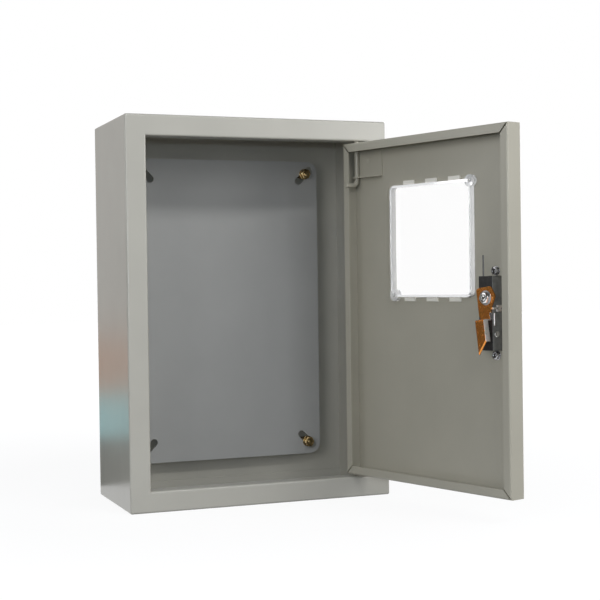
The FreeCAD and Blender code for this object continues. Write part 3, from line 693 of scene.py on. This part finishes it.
# Each card that only reflections show: its corners and its colour
CARDS = (
    ("Standing flag", standing((-1.1, 0.0), (-0.45, 0.7), 0.12), (0.02, 0.018, 0.016)),
    ("Ceiling flag", lying((-2.0, -2.0), (2.0, 2.0), 1.3), (0.01, 0.01, 0.01)),
    ("Side flag", standing((-1.6, -1.2), (-1.6, 0.0), 1.2), (0.01, 0.01, 0.01)),
    ("Near mat", lying((-1.1, 0.05), (0.3, 0.5)), (0.02, 0.025, 0.022)),
    ("Green mat", lying((-1.3, 0.5), (0.3, 1.25)), (0.36, 0.85, 0.92)),
    ("Brown mat", lying((-2.5, 1.25), (0.3, 4.0)), (0.70, 0.34, 0.20)),
    ("Grey wall", standing((-3.5, 4.0), (0.3, 4.0), 3.0), (0.66, 0.63, 0.60)),
)


class METERBOX_OT_camera(bpy.types.Operator):
    """Sets the camera at the viewing place"""

    bl_idname = "meter_box.camera"
    bl_label = "Camera"

    def execute(self, context):
        view = context.scene.meter_box_view
        data = bpy.data.cameras.new("Viewing camera")
        data.lens = view.lens
        data.sensor_width = SENSOR_WIDTH
        data.sensor_fit = "HORIZONTAL"
        camera = bpy.data.objects.new("Viewing camera", data)
        context.scene.collection.objects.link(camera)
        turn = (Matrix.Rotation(-view.yaw, 4, "Z") @ Matrix.Rotation(math.pi / 2 - view.pitch, 4, "X")
                @ Matrix.Rotation(view.roll, 4, "Z"))
        camera.matrix_world = Matrix.Translation(view.place) @ turn
        context.scene.camera = camera
        context.scene.view_settings.view_transform = "Standard"
        return {"FINISHED"}


def add_lamp(name, place, size, power, colour=(1, 1, 1)):
    """A rectangular lamp that points at the box."""
    data = bpy.data.lights.new(name, "AREA")
    data.shape = "RECTANGLE"
    data.size, data.size_y = size
    data.energy = power
    data.color = colour
    lamp = bpy.data.objects.new(name, data)
    bpy.context.scene.collection.objects.link(lamp)
    lamp.location = place
    lamp.rotation_euler = (AIM - Vector(place)).to_track_quat("-Z", "Y").to_euler()


def seen_directly(tree):
    """1 for camera, glossy and transmission rays, 0 for the rest."""
    path = tree.nodes.new("ShaderNodeLightPath")
    total = path.outputs["Is Camera Ray"]
    for other in ("Is Glossy Ray", "Is Transmission Ray"):
        node = tree.nodes.new("ShaderNodeMath")
        node.operation = "MAXIMUM"
        tree.links.new(total, node.inputs[0])
        tree.links.new(path.outputs[other], node.inputs[1])
        total = node.outputs["Value"]
    return total


class METERBOX_OT_stage(bpy.types.Operator):
    """Builds the pale floor, white surroundings and lamps"""

    bl_idname = "meter_box.stage"
    bl_label = "Stage"

    def execute(self, context):
        light = context.scene.meter_box_light
        self.add_floor(light)
        self.add_world(context, light)
        for name, place, size, setting, times in LAMPS:
            add_lamp(name, place, size, times * getattr(light, setting))
        over_lens = Vector(context.scene.meter_box_view.place) + FLASH_RISE * UP
        add_lamp("Flash lamp", over_lens, FLASH_SIZE, light.flash_power, light.flash_colour)
        for name, corners, colour in CARDS:
            self.add_card(name, corners, colour)
        return {"FINISHED"}

    def add_card(self, name, corners, colour):
        """A glowing card that only reflections show."""
        mesh = bmesh.new()
        mesh.faces.new([mesh.verts.new(corner) for corner in corners])
        card = add_object(name, mesh)
        card_glow = bpy.data.materials.new(name)
        card_glow.use_nodes = True
        tree = card_glow.node_tree
        glow = tree.nodes.new("ShaderNodeEmission")
        glow.inputs["Color"].default_value = (*colour, 1)
        tree.links.new(glow.outputs["Emission"], tree.nodes["Material Output"].inputs["Surface"])
        card.data.materials.append(card_glow)
        for ray in ("camera", "diffuse", "transmission", "shadow", "volume_scatter"):
            setattr(card, f"visible_{ray}", False)

    def add_floor(self, light):
        """A floor that looks like white paper and keeps the box's soft shadow."""
        mesh = bmesh.new()
        bmesh.ops.create_grid(mesh, x_segments=1, y_segments=1, size=FLOOR_HALF)
        floor = add_object("Floor", mesh)
        floor.location.z = CAD_BOX[0].z
        paper = bpy.data.materials.new("Paper floor")
        paper.use_nodes = True
        tree = paper.node_tree
        shader = tree.nodes["Principled BSDF"]
        shader.inputs["Base Color"].default_value = (FLOOR_GREY, FLOOR_GREY, FLOOR_GREY, 1)
        shader.inputs["Roughness"].default_value = 0.9
        shader.inputs["Specular IOR Level"].default_value = 0
        glow = tree.nodes.new("ShaderNodeEmission")
        strength = tree.nodes.new("ShaderNodeMath")
        strength.operation = "MULTIPLY"
        spread = tree.nodes.new("ShaderNodeVectorMath")
        spread.operation = "LENGTH"
        tree.links.new(tree.nodes.new("ShaderNodeTexCoord").outputs["Object"], spread.inputs[0])
        fade = tree.nodes.new("ShaderNodeMapRange")
        fade.inputs["From Min"].default_value, fade.inputs["From Max"].default_value = PAPER_FADE
        fade.inputs["To Min"].default_value = light.paper_level
        fade.inputs["To Max"].default_value = 1.0
        tree.links.new(spread.outputs["Value"], fade.inputs["Value"])
        tree.links.new(fade.outputs["Result"], strength.inputs[1])
        tree.links.new(seen_directly(tree), strength.inputs[0])
        tree.links.new(strength.outputs["Value"], glow.inputs["Strength"])
        both = tree.nodes.new("ShaderNodeAddShader")
        tree.links.new(shader.outputs["BSDF"], both.inputs[0])
        tree.links.new(glow.outputs["Emission"], both.inputs[1])
        tree.links.new(both.outputs["Shader"], tree.nodes["Material Output"].inputs["Surface"])
        floor.data.materials.append(paper)

    def add_world(self, context, light):
        """Surroundings that look white and shed a tinted light, dim below the horizon."""
        world = bpy.data.worlds.new("White surroundings")
        world.use_nodes = True
        tree = world.node_tree
        background = tree.nodes["Background"]
        direct = seen_directly(tree)
        tint = tree.nodes.new("ShaderNodeMix")
        tint.data_type = "RGBA"
        sockets = {socket.identifier: socket for socket in (*tint.inputs, *tint.outputs)}
        sockets["A_Color"].default_value = (*light.sky_colour, 1)
        sockets["B_Color"].default_value = (1, 1, 1, 1)
        tree.links.new(direct, sockets["Factor_Float"])
        tree.links.new(sockets["Result_Color"], background.inputs["Color"])
        split = tree.nodes.new("ShaderNodeSeparateXYZ")
        tree.links.new(tree.nodes.new("ShaderNodeTexCoord").outputs["Generated"], split.inputs["Vector"])
        rise = tree.nodes.new("ShaderNodeMapRange")
        rise.interpolation_type = "SMOOTHSTEP"
        rise.inputs["From Min"].default_value = -HORIZON
        rise.inputs["From Max"].default_value = HORIZON
        rise.inputs["To Min"].default_value = light.ground_level
        rise.inputs["To Max"].default_value = light.sky_level
        tree.links.new(split.outputs["Z"], rise.inputs["Value"])
        level = tree.nodes.new("ShaderNodeMix")
        level.inputs["B"].default_value = 1.0
        tree.links.new(direct, level.inputs["Factor"])
        tree.links.new(rise.outputs["Result"], level.inputs["A"])
        tree.links.new(level.outputs["Result"], background.inputs["Strength"])
        context.scene.world = world


# Pieces

PLATE_WASHER_EDGE = 0.25 * MM
LOCK_WASHER_EDGE = 0.2 * MM
CAM_WASHER_EDGE = 0.3 * MM

# Shares of a screw head's radius or height: profiles of its dome and groove, and its slot
DOME = ((1, 0), (1, 0.45), (0.94, 0.68), (0.8, 0.85), (0.5, 0.96), (0.2, 1))
GROOVE = ((0.66, 0), (0.62, 0.42), (0.54, 0.42), (0.50, 0.08), (0.40, 0), (0.2, 0))
SLOT_WIDTH = 0.25
SLOT_DEPTH = 0.55
CROSS_LENGTH = 1.2

SLOT_TURN = math.radians(35)

# Share of the wire's radius that its tip is coned by
WIRE_TIP = 0.4

# A screw is all shank past this share of its length, and all head past this many shank radii
SHANK_END = 0.9
HEAD_STEP = 1.2

# Least parts of a normal along Z at the step of the cam's tongue, and along Z and sideways at its slanted end
STEP_SLOPE = 0.5
SLANT_SLOPE = 0.2


def domed_head(radius, height):
    """Profile of a screw head with a rolled edge and a low dome."""
    return [(reach * radius, rise * height) for reach, rise in DOME]


def shank_and_head(points, seat):
    """Shank radius and head height of a screw whose head is at its start."""
    local = [seat.matrix.inverted() @ point for point in points]
    shank = max(Vector(point[:2]).length for point in local if point.z > SHANK_END * seat.length)
    head = max(point.z for point in local if Vector(point[:2]).length > HEAD_STEP * shank)
    return shank, head


class METERBOX_OT_coat(bpy.types.Operator):
    """Powder-coats the cabinet, the mounting plate, the door and its hinge"""

    bl_idname = "meter_box.coat"
    bl_label = "Powder coat"

    def execute(self, context):
        detail = context.scene.meter_box_detail
        # The door's pieces take the coat with painted shade.
        for node, finish in (("cabinet_shell", "Cabinet coat"), ("mounting_plate", "Plate coat"),
                             ("door_panel", "Door coat"), ("hinge_pin_lower", "Door coat")):
            paint(node, finish)
        pin = broken_edges("hinge_pin_upper", detail.pin_edge, segments=3)
        weigh_normals(add_piece("hinge_bent_pin", pin, ["Door coat"], "door", "hinge_pin_upper"))
        self.add_leaf(detail)
        return {"FINISHED"}

    def add_leaf(self, detail):
        """The hinge bracket, with the dimple of a spot weld in the middle of its leaf."""
        mesh = broken_edges("hinge_bracket", detail.sheet_edge)
        leaf = max((face for face in mesh.faces if face.normal.dot(INTO_DOOR) > EXACTLY),
                   key=lambda face: face.calc_area())
        middle = leaf.calc_center_bounds()
        piece = add_piece("hinge_leaf", mesh, ["Door coat"], "door", "hinge_bracket")
        electrode = bmesh.new()
        bmesh.ops.create_uvsphere(
            electrode, u_segments=64, v_segments=64, radius=detail.weld_radius,
            matrix=Matrix.Translation(middle + (detail.weld_radius - detail.weld_depth) * INTO_DOOR))
        cut(piece, electrode)
        weigh_normals(piece)


class METERBOX_OT_plate_fixings(bpy.types.Operator):
    """Builds the threaded studs, washers and nuts that hold the mounting plate"""

    bl_idname = "meter_box.plate_fixings"
    bl_label = "Plate fixings"

    def execute(self, context):
        detail = context.scene.meter_box_detail
        # The fixings' zinc is darkened as painted shade for the dark surroundings it mirrors.
        zinc = "Yellow zinc"
        studs = bmesh.new()
        for points in solids("plate_studs"):
            seat = Seat(points, TO_FRONT)
            add_thread(studs, seat.matrix, seat.radius, seat.length, detail.stud_pitch, detail.stud_bevel)
        add_piece("threaded_studs", studs, [zinc], "cabinet", "plate_studs")
        bore = seat.radius
        for name, node in (("chamfered_nuts", "plate_nuts"), ("chamfered_backing_nuts", "plate_backing_nuts")):
            add_nuts(name, node, TO_FRONT, bore, zinc, "cabinet")
        add_washers("stamped_washers", "plate_washers", TO_FRONT, bore, PLATE_WASHER_EDGE, zinc, "cabinet")
        return {"FINISHED"}


class METERBOX_OT_window(bpy.types.Operator):
    """Builds the clear window with its moulded edges"""

    bl_idname = "meter_box.window"
    bl_label = "Window"

    def execute(self, context):
        detail = context.scene.meter_box_detail
        mesh = broken_edges("window_pane", detail.window_edge)
        self.lift_off_door(mesh, detail)
        self.mark_tabs(mesh, detail)
        piece = add_piece("moulded_window", mesh, ["Clear plastic", "Milky rim", "Thin tabs"], "door",
                          "window_pane")
        piece.data.shade_flat()
        return {"FINISHED"}

    def lift_off_door(self, mesh, detail):
        """Draws the flange back from the door by a hair, so that clear plastic and coat share no plane."""
        door_level = min(vert.co.dot(INTO_DOOR) for vert in frame["nodes"]["door_panel"].data.vertices)
        for vert in mesh.verts:
            if abs(vert.co.dot(INTO_DOOR) - door_level) < detail.window_lift / 10:
                vert.co -= detail.window_lift * INTO_DOOR

    def mark_tabs(self, mesh, detail):
        """The rim and its lugs on the inside of the door are milky, and the tabs beside it thin."""
        places = [Vector((vert.co.dot(TO_HINGE), vert.co.z, vert.co.dot(INTO_DOOR))) for vert in mesh.verts]
        low, high = (Vector(pick(place[i] for place in places) for i in range(3)) for pick in (min, max))
        centre = (low + high) / 2
        reach = (high - low) / 2
        for face in mesh.faces:
            at = face.calc_center_median()
            across = abs(at.dot(TO_HINGE) - centre.x) - reach.x + detail.window_overlap
            up = abs(at.z - centre.y) - reach.y + detail.window_overlap
            inside = at.dot(INTO_DOOR) - low.z > detail.pane_depth
            beside = up > detail.window_edge and across < -detail.lug_length
            face.material_index = 0 if not inside else 2 if beside else 1


class METERBOX_OT_lock_body(bpy.types.Operator):
    """Builds the lock casting with its spring parts"""

    bl_idname = "meter_box.lock_body"
    bl_label = "Lock body"

    def execute(self, context):
        detail = context.scene.meter_box_detail
        mesh = broken_edges("lock_body", detail.casting_edge)
        # Faces past the door that look to the free side get the lighter grey: painted light where the door's free
        # return casts shade.
        door_level = min(point.dot(INTO_DOOR) for point in solids("lock_fixing_nuts")[0])
        for face in mesh.faces:
            inside = face.calc_center_median().dot(INTO_DOOR) > door_level
            face.material_index = 1 if inside and face.normal.dot(TO_FREE_SIDE) > LOOSELY else 0
        weigh_normals(add_piece("lock_casting", mesh, ["Lock black", "Cast grey"], "door", "lock_body"))
        for name, node in (("side_clip", "lock_side_clip"), ("spring_strip", "lock_spring_strip")):
            wire = broken_edges(node, detail.wire_edge, segments=4)
            add_piece(name, wire, ["Pale zinc"], "door", node)
        self.add_side_screw()
        self.add_spring_leg()
        return {"FINISHED"}

    def add_side_screw(self):
        """A domed screw with a slot across its head."""
        seat = Seat(solids("lock_side_screw")[0], TO_FREE_SIDE)
        head = bmesh.new()
        add_turned(head, seat.matrix, domed_head(seat.radius, seat.length))
        piece = add_piece("side_screw", head, ["Bright steel"], "door", "lock_side_screw")
        slot = bmesh.new()
        add_box(slot, seat.matrix @ Matrix.Rotation(SLOT_TURN, 4, "Z") @ Matrix.Translation((0, 0, seat.length)),
                (4 * seat.radius, SLOT_WIDTH * seat.radius, SLOT_DEPTH * 2 * seat.length))
        cut(piece, slot)

    def add_spring_leg(self):
        """A wire with a coned tip."""
        leg = bmesh.new()
        seat = Seat(solids("lock_spring_leg")[0], UP)
        edge = WIRE_TIP * seat.radius
        add_turned(leg, seat.matrix, ((seat.radius, 0), (seat.radius, seat.length - edge),
                                      (seat.radius - edge, seat.length)))
        add_piece("spring_leg", leg, ["Spring wire"], "door", "lock_spring_leg")


class METERBOX_OT_lock_fixings(bpy.types.Operator):
    """Builds the lock's cross-recess screws with their washers and nuts"""

    bl_idname = "meter_box.lock_fixings"
    bl_label = "Lock fixings"

    def execute(self, context):
        detail = context.scene.meter_box_detail
        nickel = "Grey nickel"
        screws = bmesh.new()
        recesses = bmesh.new()
        for points in solids("lock_fixing_screws"):
            seat = Seat(points, INTO_DOOR)
            shank, head = shank_and_head(points, seat)
            add_thread(screws, seat.matrix @ Matrix.Translation((0, 0, head / 2)), shank,
                       seat.length - head / 2, detail.screw_pitch, detail.screw_bevel)
            flip = Matrix.Translation((0, 0, head)) @ Matrix.Rotation(math.pi, 4, "X")
            add_turned(screws, seat.matrix @ flip, domed_head(seat.radius, head))
            for turn in (0, math.pi / 2):
                add_box(recesses, seat.matrix @ Matrix.Rotation(turn, 4, "Z"),
                        (CROSS_LENGTH * seat.radius, SLOT_WIDTH * seat.radius, head))
        cut(add_piece("cross_screws", screws, [nickel], "door", "lock_fixing_screws"), recesses)
        add_washers("lock_washers", "lock_fixing_washers", INTO_DOOR, shank, LOCK_WASHER_EDGE, nickel, "door")
        add_nuts("lock_nuts", "lock_fixing_nuts", INTO_DOOR, shank, nickel, "door")
        return {"FINISHED"}


class METERBOX_OT_cam(bpy.types.Operator):
    """Builds the cam with its hexagon screw, washer and spindle"""

    bl_idname = "meter_box.cam"
    bl_label = "Cam"

    def execute(self, context):
        detail = context.scene.meter_box_detail
        head_level = max(point.dot(INTO_DOOR) for point in solids("cam_washer")[0])
        mesh = broken_edges("lock_cam", detail.sheet_edge, rolled_width=detail.rolled_edge,
                            is_rolled=lambda edge: self.is_rolled(edge, head_level))
        for face in mesh.faces:
            raised = face.calc_center_median().dot(INTO_DOOR) > head_level
            face.material_index = 1 if raised and face.normal.dot(TO_FREE_SIDE) > CLOSELY else 0
        weigh_normals(add_piece("stepped_cam", mesh, ["Cam zinc", "Pale zinc"], "latch", "lock_cam"))
        paint("lock_spindle", "Spring steel")
        shank = self.add_screw(detail)
        add_washers("cam_ring", "cam_washer", INTO_DOOR, shank, CAM_WASHER_EDGE, "Spring steel", "latch")
        return {"FINISHED"}

    def is_rolled(self, edge, head_level):
        """Whether an edge of the tongue's outer face is on its step or its slanted end."""
        faces = sorted(edge.link_faces, key=lambda face: face.normal.dot(INTO_DOOR))
        outer = faces[1]
        if outer.normal.dot(INTO_DOOR) < CLOSELY or outer.calc_center_median().dot(INTO_DOOR) < head_level:
            return False
        slope = faces[0].normal
        slanted = slope.z < -SLANT_SLOPE and slope.dot(TO_FREE_SIDE) > SLANT_SLOPE
        return slope.z > STEP_SLOPE or slanted

    def add_screw(self, detail):
        """Hexagon head with a turned groove round a domed middle, on a threaded shank whose radius it returns."""
        points = solids("cam_screw")[0]
        seat = Seat(points, -INTO_DOOR)
        shank, head = shank_and_head(points, seat)
        corner = seat.radius
        mesh = bmesh.new()
        add_thread(mesh, seat.matrix @ Matrix.Translation((0, 0, head / 2)), shank, seat.length - head / 2,
                   detail.screw_pitch, detail.screw_bevel)
        rings = [hexagon_ring(corner, head, 0), hexagon_ring(corner, head, 1), hexagon_ring(corner, 0, -1),
                 hexagon_ring(corner, 0, 0)]
        rings += [round_ring(reach * chamfer_radius(corner), depth * head, HEXAGON_POINTS) for reach, depth in GROOVE]
        add_rings(mesh, seat.matrix, rings, closed=False)
        add_piece("hexagon_screw", mesh, ["Bright steel"], "latch", "cam_screw")
        return shank


class METERBOX_OT_handle(bpy.types.Operator):
    """Builds the handle on the outside of the door"""

    bl_idname = "meter_box.handle"
    bl_label = "Handle"

    def execute(self, context):
        mesh = broken_edges("lock_handle", context.scene.meter_box_detail.casting_edge)
        weigh_normals(add_piece("cast_handle", mesh, ["Lock black"], "latch", "lock_handle"))
        return {"FINISHED"}


class METERBOX_PT_parts(bpy.types.Panel):
    """Lists the pieces and their settings"""

    bl_idname = "METERBOX_PT_parts"
    bl_label = "Meter Box"
    bl_space_type = "VIEW_3D"
    bl_region_type = "UI"
    bl_category = "Meter Box"

    def draw(self, context):
        for operator in OPERATORS:
            self.layout.operator(operator.bl_idname)
        for name in SETTINGS:
            group = getattr(context.scene, name)
            for key in group.bl_rna.properties.keys():
                if key not in ("name", "rna_type"):
                    self.layout.prop(group, key)


SETTINGS = {
    "meter_box_view": MeterBoxView,
    "meter_box_light": MeterBoxLight,
    "meter_box_finish": MeterBoxFinish,
    "meter_box_detail": MeterBoxDetail,
}

OPERATORS = (
    METERBOX_OT_camera,
    METERBOX_OT_stage,
    METERBOX_OT_coat,
    METERBOX_OT_plate_fixings,
    METERBOX_OT_window,
    METERBOX_OT_lock_body,
    METERBOX_OT_lock_fixings,
    METERBOX_OT_cam,
    METERBOX_OT_handle,
)


def register():
    for cls in (*SETTINGS.values(), *OPERATORS, METERBOX_PT_parts):
        bpy.utils.register_class(cls)
    for name, cls in SETTINGS.items():
        setattr(bpy.types.Scene, name, PointerProperty(type=cls))


def unregister():
    for name in SETTINGS:
        delattr(bpy.types.Scene, name)
    for cls in reversed((*SETTINGS.values(), *OPERATORS, METERBOX_PT_parts)):
        bpy.utils.unregister_class(cls)


def main():
    register()
    for operator in OPERATORS:
        group, name = operator.bl_idname.split(".")
        getattr(getattr(bpy.ops, group), name)()


if __name__ == "__main__":
    main()
